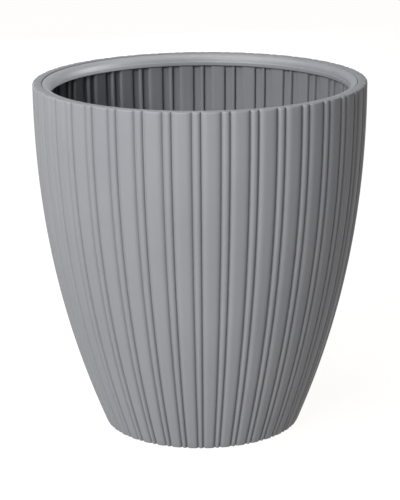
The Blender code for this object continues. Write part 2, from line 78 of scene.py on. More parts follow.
class Ribs:
    """A repeating rib: a round narrow bead between two grooves, and a wide land between the pairs.

    groove_at, flat, land_round and bead_flat are in parts of a period. depth and crown are in metres.
    """

    def __init__(self, count, phase, depth, groove_at, flat, land_round, crown, bead_flat):
        self.count = count
        self.phase = phase
        self.depth = depth
        self.bead_edge = groove_at - flat
        self.land_edge = groove_at + flat
        self.land_round = land_round
        self.crown = crown
        self.bead_flat = bead_flat
        self.span = 2 * math.pi * TOP_RADIUS / count

    def profile(self, offset):
        """How far below the land a point lies, offset being in parts of a period from the bead's middle."""
        away = abs(offset)
        if away <= self.bead_edge:
            along = max(0.0, away - self.bead_flat) * self.span
            return shoulder(along, (self.bead_edge - self.bead_flat) * self.span, self.depth)
        if away <= self.land_edge:
            return self.depth
        deep = 0.0
        left = self.land_edge + self.land_round - away
        if left > 0.0:
            deep = shoulder(left * self.span, self.land_round * self.span, self.depth)
        return deep + self.crown * ((0.5 - away) / (0.5 - self.land_edge)) ** 2

    def offsets(self):
        """Sample offsets over one period, closer together about the grooves."""
        bead = self.bead_edge - self.bead_flat
        half = [self.bead_flat + share * bead for share in (0.25, 0.5, 0.7, 0.84, 0.94, 1.0)]
        half += [self.land_edge + share * self.land_round for share in (0.0, 0.06, 0.16, 0.32, 0.55, 1.0)]
        half += [0.5 * (self.land_edge + self.land_round + 0.5)]
        return [-0.5] + [-x for x in reversed(half)] + [0.0] + half

    def columns(self):
        """(angle, depth) of every column round the wall."""
        period = 2 * math.pi / self.count
        pattern = [(offset, self.profile(offset)) for offset in self.offsets()]
        return [(self.phase - math.pi / 2 + (rib + offset) * period, depth)
                for rib in range(self.count) for offset, depth in pattern]


OUTER = Ribs(count=38, phase=-0.018, depth=0.0030, groove_at=0.152, flat=0.014, land_round=0.166,
             crown=0.0002, bead_flat=0.010)
INNER = Ribs(count=28, phase=math.pi - 0.019, depth=0.0036, groove_at=0.1675, flat=0.100, land_round=0.050,
             crown=0.0002, bead_flat=0.020)


# ---------------------------------------------------------------- shapes

def wall_radius(z):
    """The radius of the pot's wall, on its lands, at a height."""
    up = min(max(z / HEIGHT, 0.0), 1.0)
    return TOP_RADIUS - (TOP_RADIUS - BASE_RADIUS) * (1.0 - up) ** WALL_POWER


def wall_rows(low, high, count, offset, grooved):
    """(radius, z, groove) rows down the wall from high to low."""
    rows = []
    for i in range(count + 1):
        z = high + (low - high) * i / count
        rows.append((wall_radius(z) - offset, z, grooved))
    return rows


def fillet(points, segments=5):
    """Rounds the corners of (radius, z, rounding) points and returns (radius, z) points."""
    out = []
    for i, (r, z, rounding) in enumerate(points):
        if rounding <= 0 or i == 0 or i == len(points) - 1:
            out.append((r, z))
            continue
        here = Vector((r, z))
        before = Vector(points[i - 1][:2]) - here
        after = Vector(points[i + 1][:2]) - here
        half = before.angle(after) / 2
        reach = min(rounding / math.tan(half), before.length * 0.49, after.length * 0.49)
        start = here + before.normalized() * reach
        end = here + after.normalized() * reach
        for k in range(segments + 1):
            t = k / segments
            point = start * (1 - t) ** 2 + here * 2 * t * (1 - t) + end * t ** 2
            out.append((point.x, point.y))
    return out


def finish_mesh(name, verts, faces, smooth_angle=35.0):
    """An object from points and faces, with doubled points merged and only its sharper edges left sharp."""
    mesh = bpy.data.meshes.new(name)
    mesh.from_pydata(verts, [], faces)
    shape = bmesh.new()
    shape.from_mesh(mesh)
    bmesh.ops.remove_doubles(shape, verts=shape.verts, dist=1e-7)
    bmesh.ops.recalc_face_normals(shape, faces=shape.faces)
    limit = math.radians(smooth_angle)
    for edge in shape.edges:
        edge.smooth = len(edge.link_faces) == 2 and edge.calc_face_angle(math.pi) < limit
    for face in shape.faces:
        face.smooth = True
    shape.to_mesh(mesh)
    shape.free()
    obj = bpy.data.objects.new(name, mesh)
    bpy.context.scene.collection.objects.link(obj)
    return obj


def ring_wall(name, rows, columns, sign=-1.0, closed=True, smooth_angle=40.0):
    """A wall from (radius, z, groove) rows and (angle, depth) columns; groove scales each column's depth."""
    verts = []
    for radius, z, grooved in rows:
        for angle, depth in columns:
            r = radius + sign * grooved * depth
            verts.append((r * math.cos(angle), r * math.sin(angle), z))
    count = len(columns)
    faces = []
    last = len(rows) if closed else len(rows) - 1
    for i in range(last):
        a, b = i * count, ((i + 1) % len(rows)) * count
        for j in range(count):
            k = (j + 1) % count
            faces.append((a + j, a + k, b + k, b + j))
    return finish_mesh(name, verts, faces, smooth_angle)


def turned(name, profile, steps=64, centre=(0.0, 0.0), closed=False, smooth_angle=35.0):
    """A profile of (radius, z) points turned about a vertical axis through centre."""
    verts, faces, rings = [], [], []
    for radius, z in profile:
        if radius < 1e-6:
            rings.append([len(verts)])
            verts.append((centre[0], centre[1], z))
            continue
        ring = []
        for j in range(steps):
            turn = 2 * math.pi * j / steps
            ring.append(len(verts))
            verts.append((centre[0] + radius * math.cos(turn), centre[1] + radius * math.sin(turn), z))
        rings.append(ring)
    pairs = list(zip(rings, rings[1:]))
    if closed:
        pairs.append((rings[-1], rings[0]))
    for a, b in pairs:
        for j in range(steps):
            k = (j + 1) % steps
            if len(a) == 1 and len(b) == 1:
                continue
            if len(a) == 1:
                faces.append((a[0], b[k], b[j]))
            elif len(b) == 1:
                faces.append((a[j], a[k], b[0]))
            else:
                faces.append((a[j], a[k], b[k], b[j]))
    return finish_mesh(name, verts, faces, smooth_angle)


# ---------------------------------------------------------------- materials

def node(tree, kind, place, **settings):
    """A shader node at a place in the tree, with its settings."""
    made = tree.nodes.new(kind)
    made.location = place
    for key, value in settings.items():
        setattr(made, key, value)
    return made


def plastic(name, color, roughness, grain=0.00012, grain_scale=1400.0, mottle=0.05, tint=(1.0, 1.0, 1.0),
            specular=0.5, streaks=0.0):
    """Moulded plastic: a slow drift of tone, a fine moulded grain and slightly uneven gloss."""
    mat = bpy.data.materials.new(name)
    mat.use_nodes = True
    tree = mat.node_tree
    shader = tree.nodes["Principled BSDF"]
    shader.inputs["Specular IOR Level"].default_value = specular
    place = node(tree, "ShaderNodeTexCoord", (-1400, 0))
    slow = node(tree, "ShaderNodeTexNoise", (-1100, 300))
    slow.inputs["Scale"].default_value = 9.0
    slow.inputs["Detail"].default_value = 4.0
    stretch = node(tree, "ShaderNodeMapping", (-1280, -80))
    stretch.inputs["Scale"].default_value = (60.0, 60.0, 1.6)
    streak = node(tree, "ShaderNodeTexNoise", (-1100, 60))
    streak.inputs["Scale"].default_value = 1.0
    streak.inputs["Detail"].default_value = 3.0
    tree.links.new(place.outputs["Object"], slow.inputs["Vector"])
    tree.links.new(place.outputs["Object"], stretch.inputs["Vector"])
    tree.links.new(stretch.outputs["Vector"], streak.inputs["Vector"])
    mixed = node(tree, "ShaderNodeMath", (-900, 200), operation="MULTIPLY_ADD")
    mixed.inputs[1].default_value = streaks
    tree.links.new(streak.outputs["Fac"], mixed.inputs[0])
    tree.links.new(slow.outputs["Fac"], mixed.inputs[2])
    ramp = node(tree, "ShaderNodeValToRGB", (-700, 300))
    low = [c * (1.0 - mottle) for c in color]
    high = [c * (1.0 + mottle) * t for c, t in zip(color, tint)]
    ramp.color_ramp.elements[0].position = 0.35
    ramp.color_ramp.elements[0].color = (*low, 1.0)
    ramp.color_ramp.elements[1].position = 0.65 + streaks
    ramp.color_ramp.elements[1].color = (*high, 1.0)
    tree.links.new(mixed.outputs[0], ramp.inputs["Fac"])
    tree.links.new(ramp.outputs["Color"], shader.inputs["Base Color"])
    fine = node(tree, "ShaderNodeTexNoise", (-1100, -300))
    fine.inputs["Scale"].default_value = grain_scale
    fine.inputs["Detail"].default_value = 2.0
    tree.links.new(place.outputs["Object"], fine.inputs["Vector"])
    bump = node(tree, "ShaderNodeBump", (-500, -300))
    bump.inputs["Strength"].default_value = 0.35
    bump.inputs["Distance"].default_value = grain
    tree.links.new(fine.outputs["Fac"], bump.inputs["Height"])
    tree.links.new(bump.outputs["Normal"], shader.inputs["Normal"])
    uneven = node(tree, "ShaderNodeMapRange", (-700, 0))
    uneven.inputs["From Min"].default_value = 0.3
    uneven.inputs["From Max"].default_value = 0.7
    uneven.inputs["To Min"].default_value = roughness - 0.05
    uneven.inputs["To Max"].default_value = roughness + 0.06
    tree.links.new(slow.outputs["Fac"], uneven.inputs["Value"])
    tree.links.new(uneven.outputs["Result"], shader.inputs["Roughness"])
    return mat


def clear_plastic(name):
    """Clear plastic with a slightly hazy, uneven gloss."""
    mat = bpy.data.materials.new(name)
    mat.use_nodes = True
    tree = mat.node_tree
    shader = tree.nodes["Principled BSDF"]
    shader.inputs["Base Color"].default_value = (0.86, 0.90, 0.91, 1.0)
    shader.inputs["Transmission Weight"].default_value = 1.0
    shader.inputs["IOR"].default_value = 1.46
    place = node(tree, "ShaderNodeTexCoord", (-900, 0))
    haze = node(tree, "ShaderNodeTexNoise", (-700, 0))
    haze.inputs["Scale"].default_value = 240.0
    tree.links.new(place.outputs["Object"], haze.inputs["Vector"])
    rough = node(tree, "ShaderNodeMapRange", (-480, 0))
    rough.inputs["To Min"].default_value = 0.05
    rough.inputs["To Max"].default_value = 0.18
    tree.links.new(haze.outputs["Fac"], rough.inputs["Value"])
    tree.links.new(rough.outputs["Result"], shader.inputs["Roughness"])
    return mat


def steel(name):
    """Drawn steel, with a fine unevenness in its gloss and surface."""
    mat = bpy.data.materials.new(name)
    mat.use_nodes = True
    tree = mat.node_tree
    shader = tree.nodes["Principled BSDF"]
    shader.inputs["Metallic"].default_value = 1.0
    shader.inputs["Base Color"].default_value = (0.56, 0.56, 0.57, 1.0)
    place = node(tree, "ShaderNodeTexCoord", (-900, 0))
    drawn = node(tree, "ShaderNodeTexNoise", (-700, 0))
    drawn.inputs["Scale"].default_value = 900.0
    tree.links.new(place.outputs["Object"], drawn.inputs["Vector"])
    rough = node(tree, "ShaderNodeMapRange", (-480, 0))
    rough.inputs["To Min"].default_value = 0.22
    rough.inputs["To Max"].default_value = 0.42
    tree.links.new(drawn.outputs["Fac"], rough.inputs["Value"])
    tree.links.new(rough.outputs["Result"], shader.inputs["Roughness"])
    bump = node(tree, "ShaderNodeBump", (-480, -260))
    bump.inputs["Strength"].default_value = 0.2
    bump.inputs["Distance"].default_value = 0.00005
    tree.links.new(drawn.outputs["Fac"], bump.inputs["Height"])
    tree.links.new(bump.outputs["Normal"], shader.inputs["Normal"])
    return mat


POT_GREY = (0.128, 0.130, 0.137)
LIP_GREY = (0.128, 0.130, 0.138)
# The liner wall's grey is a darker copy of the lip's grey: painted shade for the dim inside of the pot.
LINER_SHADED_GREY = (0.103, 0.105, 0.112)

WARM_TINT = (1.02, 1.0, 0.98)
STREAKS = 0.25

MATS = {
    "pot_grey": plastic("pot_grey_moulded", POT_GREY, 0.50, streaks=STREAKS, tint=WARM_TINT, specular=0.12),
    "liner_grey": plastic("liner_lip_moulded", LIP_GREY, 0.48, streaks=STREAKS, tint=WARM_TINT,
                          specular=0.40),
    # The liner wall's material is painted darker to stand in for the shade inside the pot.
    "liner_wall": plastic("liner_wall_painted_shade", LINER_SHADED_GREY, 0.48, streaks=STREAKS, tint=WARM_TINT,
                          specular=0.30),
    "inner_black": plastic("inner_black_moulded", (0.024, 0.025, 0.027), 0.50, grain=0.0002, mottle=0.15),
    "lid_grey": plastic("lid_grey_moulded", (0.075, 0.078, 0.086), 0.42, grain=0.0002, mottle=0.08),
    "rubber_black": plastic("rubber_black_soft", (0.014, 0.014, 0.015), 0.75, grain=0.0003, grain_scale=900.0,
                            mottle=0.2),
    "gauge_clear": clear_plastic("gauge_clear_plastic"),
    "float_white": plastic("float_white_foam", (0.70, 0.70, 0.67), 0.60, grain=0.0004, grain_scale=700.0,
                           mottle=0.04),
    "marker_red": plastic("marker_red_moulded", (0.50, 0.025, 0.018), 0.32, grain=0.0001, mottle=0.08),
    "pin_steel": steel("pin_steel_drawn"),
}


def wear(obj, look):
    """Gives the object one of the materials."""
    obj.data.materials.clear()
    obj.data.materials.append(MATS[look])


def piece(obj, body, slot, *replaced, look=None):
    """Dresses the object, rides it on its body and has it stand for the CAD nodes that it replaces."""
    wear(obj, look or slot)
    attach(obj, body)
    if replaced:
        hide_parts(*replaced)
    return obj


# ---------------------------------------------------------------- pot and liner

def pot_shell():
    """The pot: ribbed outside, smooth inside, with the liner's seat, a recessed base and the bung's hole."""
    inner = wall_rows(SHELL_FLOOR_Z + 0.006, HEIGHT - 0.020, 14, SHELL_WALL, 0.0)
    inner.reverse()
    floor_r = inner[0][0]
    rows = [(BUNG_HOLE, SHELL_FLOOR_Z, 0.0), (0.05, SHELL_FLOOR_Z, 0.0),
            (floor_r - 0.006, SHELL_FLOOR_Z, 0.0),
            (floor_r - 0.003, SHELL_FLOOR_Z + 0.0008, 0.0), (floor_r - 0.001, SHELL_FLOOR_Z + 0.003, 0.0)]
    rows += inner
    rows += [(SEAT_RADIUS, SEAT_Z - 0.0035, 0.0), (SEAT_RADIUS, SEAT_Z, 0.0), (SEAM_RADIUS, SEAT_Z, 0.0),
             (SEAM_RADIUS, HEIGHT - 0.0007, 0.0), (SEAM_RADIUS + 0.0002, HEIGHT - 0.0002, 0.0),
             (SEAM_RADIUS + 0.0007, HEIGHT, 0.0), (SEAM_RADIUS + 0.0040, HEIGHT, 0.0)]
    for k in range(7):
        turn = math.pi / 2 * k / 6
        rows.append((TOP_RADIUS - RIM_ROUND * (1 - math.sin(turn)), HEIGHT - RIM_ROUND * (1 - math.cos(turn)),
                     RIM_GROOVE + (1.0 - RIM_GROOVE) * math.sin(turn)))
    rows += wall_rows(0.0006, HEIGHT - RIM_ROUND - 0.002, 44, 0.0, 1.0)
    rows += [(BASE_RADIUS - 0.0002, 0.0001, 0.98), (BASE_RADIUS - 0.0008, 0.0, 0.94), (0.113, 0.0, 0.0),
             (RECESS_RADIUS, 0.0, 0.0), (RECESS_RADIUS - 0.003, RECESS_Z, 0.0), (0.05, RECESS_Z, 0.0),
             (BUNG_HOLE, RECESS_Z, 0.0)]
    return ring_wall("pot_wall", rows, OUTER.columns())


def liner_collar():
    """The liner's rounded lip, which sits in the pot's seat and overhangs the top of the inner ribs."""
    low = LIP_BOTTOM - 0.0004
    start, top = SEAM_RADIUS - 0.0010, HEIGHT - 0.0006
    points = [(SEAT_RADIUS - 0.0006, SEAT_Z - 0.0035), (SEAT_RADIUS - 0.0004, SEAT_Z + 0.0003),
              (SEAM_RADIUS - 0.0004, SEAT_Z + 0.0003), (SEAM_RADIUS - 0.0004, top - 0.0006),
              (SEAM_RADIUS - 0.0006, top - 0.0002)]
    for k in range(15):
        turn = math.pi / 2 * k / 15
        points.append((start - COLLAR_WIDE * math.sin(turn), top - COLLAR_TALL * (1 - math.cos(turn))))
    points = [(r, z, 0.0) for r, z in points]
    points += [(start - COLLAR_WIDE - 0.0001, top - COLLAR_TALL, 0.0008),
               (LIP_RADIUS, top - COLLAR_TALL - 0.0012, 0.0010), (LIP_RADIUS, LIP_BOTTOM + 0.0006, 0.0016),
               (LIP_RADIUS + 0.0022, low, 0), (wall_radius(LIP_BOTTOM) - LINER_OFFSET, low, 0)]
    return turned("liner_collar", fillet(points, 6), 240, closed=True)


def liner_wall():
    """The liner's ribbed wall and the ledge that carries the plate."""
    high, low = LIP_BOTTOM - 0.0005, LEDGE_Z - LEDGE_THICKNESS
    rows = wall_rows(LEDGE_Z, high, 30, LAND_OFFSET, 1.0)
    rows += [(LEDGE_RADIUS + 0.0005, LEDGE_Z, 0.0), (LEDGE_RADIUS, LEDGE_Z - 0.0005, 0.0),
             (LEDGE_RADIUS, low, 0.0)]
    outer = wall_rows(low, high, 16, LINER_OFFSET, 0.0)
    outer.reverse()
    rows += outer
    return ring_wall("liner_wall", rows, INNER.columns(), sign=1.0)


# ---------------------------------------------------------------- building blocks

def reshade(obj, smooth_angle=35.0):
    """Smooth faces, with sharp edges where two faces meet at more than the angle."""
    shape = bmesh.new()
    shape.from_mesh(obj.data)
    bmesh.ops.recalc_face_normals(shape, faces=shape.faces)
    limit = math.radians(smooth_angle)
    for edge in shape.edges:
        edge.smooth = len(edge.link_faces) == 2 and edge.calc_face_angle(math.pi) < limit
    for face in shape.faces:
        face.smooth = True
    shape.to_mesh(obj.data)
    shape.free()
    return obj


def combine(obj, operation, *others, smooth_angle=35.0):
    """Adds the other solids to the object or cuts them from it, and removes them."""
    for other in others:
        step = obj.modifiers.new("combine", "BOOLEAN")
        step.operation = operation
        step.solver = "EXACT"
        step.object = other
    bpy.context.view_layer.update()
    made = bpy.data.meshes.new_from_object(obj.evaluated_get(bpy.context.evaluated_depsgraph_get()))
    obj.modifiers.clear()
    obj.data = made
    for other in others:
        bpy.data.objects.remove(other, do_unlink=True)
    return reshade(obj, smooth_angle)


def slab(name, section, shift, rounding=0.0004, segments=3):
    """A flat outline of 3-D points pushed along shift, with its rims rounded."""
    mesh = bpy.data.meshes.new(name)
    shape = bmesh.new()
    face = shape.faces.new([shape.verts.new(point) for point in section])
    made = bmesh.ops.extrude_face_region(shape, geom=[face])
    moved = [v for v in made["geom"] if isinstance(v, bmesh.types.BMVert)]
    bmesh.ops.translate(shape, vec=shift, verts=moved)
    bmesh.ops.recalc_face_normals(shape, faces=shape.faces)
    rims = [edge for edge in shape.edges if edge.calc_face_angle() > 0.6]
    bmesh.ops.bevel(shape, geom=rims, offset=rounding, segments=segments, profile=0.5, affect="EDGES")
    shape.to_mesh(mesh)
    shape.free()
    obj = bpy.data.objects.new(name, mesh)
    bpy.context.scene.collection.objects.link(obj)
    return reshade(obj)


def block(name, low, high, rounding=0.0004):
    """A box between two corners with rounded edges."""
    section = [(low[0], low[1], low[2]), (high[0], low[1], low[2]), (high[0], high[1], low[2]),
               (low[0], high[1], low[2])]
    return slab(name, section, (0.0, 0.0, high[2] - low[2]), rounding)


def laid(obj, axis, centre):
    """Turns a piece made about Z so that it lies along X or Y through centre."""
    turn = Matrix.Rotation(math.pi / 2, 4, "Y") if axis == "X" else Matrix.Rotation(math.pi / 2, 4, "X")
    obj.data.transform(Matrix.Translation(centre) @ turn)
    return obj


def cylinder(name, radius, low, high, centre=(0.0, 0.0), steps=40):
    """A plain upright cylinder, used as a cutter."""
    return turned(name, [(0.0, low), (radius, low), (radius, high), (0.0, high)], steps, centre)


def soft_ring(name, section, steps, centre=(0.0, 0.0), rounding=0.0005):
    """A closed (radius, z) section with every corner rounded, turned about a vertical axis."""
    points = [(radius, z, rounding) for radius, z in section]
    looped = fillet([points[-1]] + points + [points[0]], 3)[1:-1]
    return turned(name, looped, steps, centre, closed=True)


def soft_turned(name, section, steps, centre=(0.0, 0.0), rounding=0.0005, segments=4):
    """A solid turned from a section that starts and ends on the axis, with its corners rounded."""
    points = [(radius, z, rounding) for radius, z in section]
    return turned(name, fillet(points, segments), steps, centre)


def pipe(name, outer, inner, low, high, steps, centre, rounding=0.0005):
    """An upright tube with rounded ends."""
    section = [(inner, low), (inner, high), (outer, high), (outer, low)]
    return soft_ring(name, section, steps, centre, rounding)


# ---------------------------------------------------------------- separator plate and feet

GAP = 0.0003
PLATE_RADIUS = 0.1334
PLATE_Z = 0.0983
PLATE_THICKNESS = 0.0030
PLATE_TOP = PLATE_Z + PLATE_THICKNESS
PLATE_EDGE = 0.0005
RIB_TALL = 0.0016
RIB_WIDE = 0.0018
RIB_SUNK = 0.0008
RIB_RINGS = (0.0345, 0.1200)
RIB_ARM = (0.0335, 0.1000)
RIB_ARM_ANGLES = (30, 150, 270)
FILL_HOLE = 0.0145
GAUGE_HOLE = 0.0103
DRAIN_HOLE = 0.0030
DRAIN_RINGS = ((0.025, (0, 60, 120, 180, 240, 300)),
               (0.068, (22, 38, 142, 158, 262, 278)),
               (0.108, tuple(range(0, 360, 30))))
FOOT_RING = 0.0680
FOOT_ANGLES = (90, 210, 330)
FOOT_HOLE = 0.0226
FOOT_TOP = 0.0220
FOOT_BOTTOM = 0.0180
FOOT_FLANGE = 0.0270
FOOT_WALL = 0.0020
FOOT_LOW = 0.0115
FOOT_SLOT_WIDE = 0.0034
FOOT_SLOT_TALL = 0.0500
FOOT_SLOT_ROUND = 0.0014
FILL = (-0.0240, -0.0960)
GAUGE = (0.0220, -0.0980)


def polar(radius, degrees):
    """(x, y) of a point at a radius and an angle."""
    turn = math.radians(degrees)
    return radius * math.cos(turn), radius * math.sin(turn)


def outline(curve, centre, radius, sides):
    """Adds a many-sided circle to a flat curve."""
    spline = curve.splines.new("POLY")
    spline.points.add(sides - 1)
    spline.use_cyclic_u = True
    for i, point in enumerate(spline.points):
        turn = 2 * math.pi * i / sides
        point.co = (centre[0] + radius * math.cos(turn), centre[1] + radius * math.sin(turn), 0.0, 1.0)


def curve_mesh(name, curve, matrix):
    """The curve as a mesh object, moved by the matrix."""
    rough = bpy.data.objects.new(name + "_curve", curve)
    bpy.context.scene.collection.objects.link(rough)
    bpy.context.view_layer.update()
    mesh = bpy.data.meshes.new_from_object(rough.evaluated_get(bpy.context.evaluated_depsgraph_get()))
    bpy.data.objects.remove(rough, do_unlink=True)
    mesh.transform(matrix)
    mesh.name = name
    shape = bmesh.new()
    shape.from_mesh(mesh)
    bmesh.ops.remove_doubles(shape, verts=shape.verts, dist=1e-6)
    shape.to_mesh(mesh)
    shape.free()
    obj = bpy.data.objects.new(name, mesh)
    bpy.context.scene.collection.objects.link(obj)
    return reshade(obj)


def plate():
    """The perforated floor, with softened holes and low stiffening ribs on its top."""
    curve = bpy.data.curves.new("plate_outline", "CURVE")
    curve.dimensions = "2D"
    curve.fill_mode = "BOTH"
    curve.extrude = PLATE_THICKNESS / 2 - PLATE_EDGE
    curve.bevel_depth = PLATE_EDGE
    curve.bevel_resolution = 1
    curve.offset = -PLATE_EDGE
    outline(curve, (0.0, 0.0), PLATE_RADIUS, 120)
    for angle in FOOT_ANGLES:
        outline(curve, polar(FOOT_RING, angle), FOOT_HOLE, 48)
    outline(curve, FILL, FILL_HOLE, 40)
    outline(curve, GAUGE, GAUGE_HOLE, 40)
    for radius, angles in DRAIN_RINGS:
        for angle in angles:
            outline(curve, polar(radius, angle), DRAIN_HOLE, 20)
    middle = Matrix.Translation((0.0, 0.0, PLATE_Z + PLATE_THICKNESS / 2))
    base = curve_mesh("plate_moulding", curve, middle)
    low, high = PLATE_TOP - RIB_SUNK, PLATE_TOP + RIB_TALL
    ribs = []
    for radius in RIB_RINGS:
        inner, outer = radius - RIB_WIDE / 2, radius + RIB_WIDE / 2
        section = [(inner, low), (inner, high), (outer, high), (outer, low)]
        ribs.append(soft_ring("plate_ring", section, 96, rounding=0.0004))
    for degrees in RIB_ARM_ANGLES:
        arm = block("plate_arm", (RIB_ARM[0], -RIB_WIDE / 2, low), (RIB_ARM[1], RIB_WIDE / 2, high))
        arm.data.transform(Matrix.Rotation(math.radians(degrees), 4, "Z"))
        ribs.append(arm)
    return combine(base, "UNION", *ribs)


def foot(index, degrees):
    """A slotted soil cup that hangs from the plate, with a rolled flange and hoops round its wall."""
    x, y = polar(FOOT_RING, degrees)
    under = PLATE_TOP + GAP
    over = under + 0.002
    inner_floor = FOOT_LOW + 0.0025
    section = [(0.0, inner_floor), (FOOT_BOTTOM - FOOT_WALL, inner_floor), (FOOT_TOP - FOOT_WALL, over),
               (FOOT_FLANGE, over), (FOOT_FLANGE, under), (FOOT_TOP - 0.0002, under)]
    for share in (0.75, 0.5, 0.25):
        z = FOOT_LOW + share * (under - FOOT_LOW)
        wall = FOOT_BOTTOM + share * (FOOT_TOP - FOOT_BOTTOM) - 0.0004
        hoop = wall + 0.0005
        section += [(wall, z + 0.0016), (hoop, z + 0.0011), (hoop, z - 0.0011), (wall, z - 0.0016)]
    section += [(FOOT_BOTTOM - 0.0003, FOOT_LOW), (0.0, FOOT_LOW)]
    cup = soft_turned("foot_cup_%d" % index, section, 60, (x, y), 0.0007, 3)
    low = FOOT_LOW + 0.012
    reach, half = FOOT_TOP + 0.01, FOOT_SLOT_WIDE / 2
    high = low + FOOT_SLOT_TALL
    across = block("slot_x", (x - reach, y - half, low), (x + reach, y + half, high), FOOT_SLOT_ROUND)
    along = block("slot_y", (x - half, y - reach, low), (x + half, y + reach, high), FOOT_SLOT_ROUND)
    combine(cup, "DIFFERENCE", across)
    return combine(cup, "DIFFERENCE", along)


# ---------------------------------------------------------------- fill tube, funnel and lid

FILL_OUTER = 0.0120
FILL_INNER = 0.0100
FILL_LOW = 0.0160
FILL_TOP = 0.3580
MOUTH_Z = 0.3850
MOUTH_OUTER = 0.0220
LID_RADIUS = 0.0215
LID_THICKNESS = 0.0025
PIN_Y = FILL[1] - 0.0265
PIN_Z = 0.3870
PIN_RADIUS = 0.0015
PIN_HOLE = 0.0018
PIN_HALF = 0.0098
TUBE_FIT = 0.0003
SEAL_LIP = 0.0018
FILL_SEAL = (0.0141, 0.0168)
GAUGE_SEAL = (0.0099, 0.0122)
EAR_NOSE = 0.0035
EAR_WIDE = 0.0030
EAR_LOW = 0.3792
EAR_HIGH = 0.3846
EAR_LEFT = -0.0092
EAR_RIGHT = 0.0062


def grommet(name, centre, inner, neck, flange):
    """A rubber seal that grips the edge of a hole in the plate."""
    low, high = PLATE_Z - GAP, PLATE_TOP + GAP
    section = [(inner, low - SEAL_LIP), (inner, high + SEAL_LIP), (flange, high + SEAL_LIP), (flange, high),
               (neck, high), (neck, low), (flange, low), (flange, low - SEAL_LIP)]
    return soft_ring(name, section, 48, centre, 0.0008)


def fill_pipe():
    """The fill tube, slightly thicker at both ends."""
    waist = FILL_OUTER - 0.0002
    tall = [(FILL_INNER, FILL_LOW), (FILL_INNER, FILL_TOP), (FILL_OUTER, FILL_TOP),
            (FILL_OUTER, FILL_TOP - 0.020), (waist, FILL_TOP - 0.021), (waist, FILL_LOW + 0.009),
            (FILL_OUTER, FILL_LOW + 0.008), (FILL_OUTER, FILL_LOW)]
    return soft_ring("fill_pipe", tall, 56, FILL, 0.0004)


def funnel_lug(x):
    """A hinge ear with a round nose about the lid's pin."""
    start = FILL[0] + x
    section = []
    for k in range(9):
        turn = math.pi * k / 8
        section.append((start, PIN_Y + EAR_NOSE * math.cos(turn), PIN_Z + EAR_NOSE * math.sin(turn)))
    root = FILL[1] - 0.0180
    section += [(start, PIN_Y - EAR_NOSE, 0.3815), (start, PIN_Y - 0.0010, EAR_LOW), (start, root, EAR_LOW),
                (start, root, EAR_HIGH), (start, PIN_Y + EAR_NOSE, EAR_HIGH)]
    return slab("funnel_ear", section, (EAR_WIDE, 0.0, 0.0), 0.0003, 2)


def pin_bore(name):
    """The cutter for the lid pin's hole."""
    return laid(cylinder(name, PIN_HOLE, -0.02, 0.02, steps=28), "X", (FILL[0], PIN_Y, PIN_Z))


def funnel():
    """The flared mouth with a rolled lip and two hinge ears."""
    sleeve = FILL_TOP - 0.016
    stop = FILL_TOP + GAP
    section = [(FILL_OUTER + TUBE_FIT, sleeve), (FILL_OUTER + TUBE_FIT, stop), (FILL_INNER, stop),
               (FILL_INNER, stop + 0.0022), (MOUTH_OUTER - 0.0024, MOUTH_Z - 0.0022),
               (MOUTH_OUTER - 0.0020, MOUTH_Z), (MOUTH_OUTER, MOUTH_Z), (MOUTH_OUTER, MOUTH_Z - 0.0022),
               (MOUTH_OUTER - 0.0012, MOUTH_Z - 0.0030),
               (FILL_OUTER + 0.0020, stop + 0.001), (FILL_OUTER + 0.0020, sleeve + 0.003),
               (FILL_OUTER + 0.0016, sleeve)]
    cone = soft_ring("funnel_mouth", section, 64, FILL, 0.0006)
    combine(cone, "UNION", funnel_lug(EAR_LEFT), funnel_lug(EAR_RIGHT))
    return combine(cone, "DIFFERENCE", pin_bore("ear_bore"))


def lid():
    """The round lid: a raised rim round a shallow dish, a knuckle on the pin and a ridged finger tab."""
    low = MOUTH_Z + GAP
    top = low + LID_THICKNESS
    section = [(0.0, top + 0.0006), (0.0052, top + 0.0006), (0.0062, top - 0.0003), (0.0138, top - 0.0003),
               (0.0148, top + 0.0005), (0.0192, top + 0.0005), (LID_RADIUS, top - 0.0008), (LID_RADIUS, low),
               (0.0, low)]
    disc = soft_turned("lid_disc", section, 72, FILL, 0.0005)
    x = FILL[0]
    edge = FILL[1] + LID_RADIUS
    knuckle = [(0.0, 0.0055), (0.0030, 0.0055), (0.0030, -0.0055), (0.0, -0.0055)]
    added = [block("lid_web", (x - 0.0053, PIN_Y, low + 0.0001), (x + 0.0053, PIN_Y + 0.0095, top - 0.0001)),
             laid(soft_turned("lid_knuckle", knuckle, 40, rounding=0.0004), "X", (x, PIN_Y, PIN_Z)),
             block("lid_tab", (x - 0.006, edge - 0.004, low + 0.0001),
                   (x + 0.006, edge + 0.0045, top - 0.0008), 0.0005)]
    for k in range(3):
        y = edge + 0.0008 + 0.0012 * k
        added.append(block("tab_ridge", (x - 0.0048, y, top - 0.0010), (x + 0.0048, y + 0.0006, top - 0.0004),
                           0.00015))
    combine(disc, "UNION", *added)
    return combine(disc, "DIFFERENCE", pin_bore("knuckle_bore"))


def round_pin(name, half, radius, axis, centre, head=0.0, head_at=0.0):
    """A pin with softened ends, and a domed head at its upper end where it has one."""
    if head:
        section = [(0.0, half), (head * 0.75, half), (head, half - 0.0008), (head, head_at),
                   (radius, head_at)]
    else:
        section = [(0.0, half), (radius * 0.8, half), (radius, half - radius * 0.3)]
    section += [(radius, -half + 0.0006), (radius * 0.7, -half), (0.0, -half)]
    return laid(soft_turned(name, section, 36, rounding=0.0003), axis, centre)


# ---------------------------------------------------------------- water gauge

